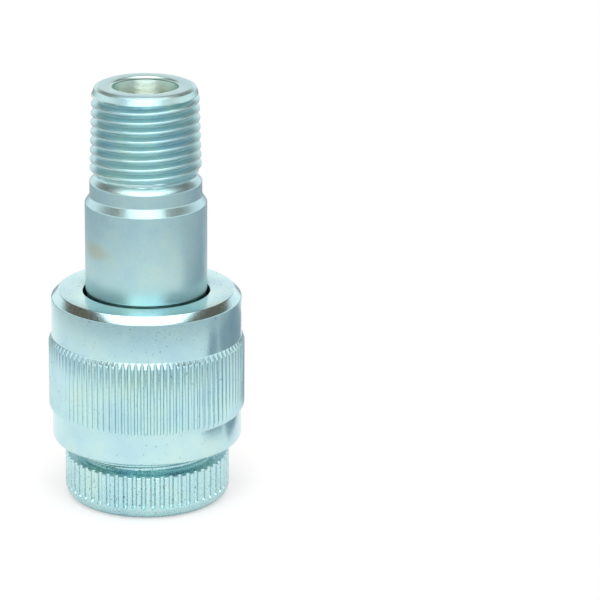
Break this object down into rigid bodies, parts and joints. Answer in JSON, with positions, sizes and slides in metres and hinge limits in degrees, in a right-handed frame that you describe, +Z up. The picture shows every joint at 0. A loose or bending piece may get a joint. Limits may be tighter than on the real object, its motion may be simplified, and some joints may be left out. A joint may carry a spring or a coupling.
{
  "type": "liquid cooling quick coupling",
  "caption": "Screw-to-connect coupling half: taper pipe thread and shank, knurled locking sleeve, spring-loaded poppet valve and a screwed dust plug.",
  "frame": {"origin": "centre of the underside of the dust plug, on the coupling's axis", "axes": "+Z up along the coupling's axis, from the dust plug to the pipe thread; X and Y are across it"},
  "size_m": [0.038, 0.038, 0.0826],
  "materials": {
    "zinc_steel": "bright zinc plating with a pale blue tint, satin turned",
    "spring_steel": "plain spring steel, drawn",
    "valve_brass": "turned brass",
    "valve_steel": "turned stainless steel",
    "nitrile": "black nitrile rubber, moulded",
    "ptfe": "white PTFE, cut"
  },
  "bodies": {
    "coupler": {"tail": "zinc_steel", "housing": "zinc_steel", "joint_seal": "nitrile", "socket_seal": "nitrile", "backup_ring": "ptfe", "guide": "valve_brass"},
    "valve": {"poppet": "valve_steel", "poppet_seal": "nitrile", "valve_spring": "spring_steel"},
    "ring": {"retaining_ring": "spring_steel"},
    "sleeve": {"sleeve": "zinc_steel"},
    "gasket": {"plug_gasket": "nitrile"},
    "plug": {"plug": "zinc_steel"}
  },
  "joints": [
    {"name": "valve_lift", "type": "slide", "parent": "coupler", "child": "valve", "axis": [0, 0, 1], "range_m": [0, 0.005], "stiffness_N_per_m": 1270, "springref_m": -0.006, "deforming": ["valve_spring"]},
    {"name": "sleeve_slide", "type": "slide", "parent": "coupler", "child": "ring", "axis": [0, 0, 1], "range_m": [-0.0014, 0]},
    {"name": "sleeve_turn", "type": "hinge", "parent": "ring", "child": "sleeve", "pos_m": [0, 0, 0.027], "axis": [0, 0, 1], "continuous": true},
    {"name": "plug_travel", "type": "slide", "parent": "sleeve", "child": "gasket", "axis": [0, 0, 1], "range_m": [-0.0088, 0]},
    {"name": "plug_turn", "type": "hinge", "parent": "gasket", "child": "plug", "pos_m": [0, 0, 0.008], "axis": [0, 0, 1], "range_deg": [-1584, 0]}
  ],
  "couplings": [
    {"joint": "plug_travel", "follows": "plug_turn", "m_per_rad": 0.00031831}
  ]
}
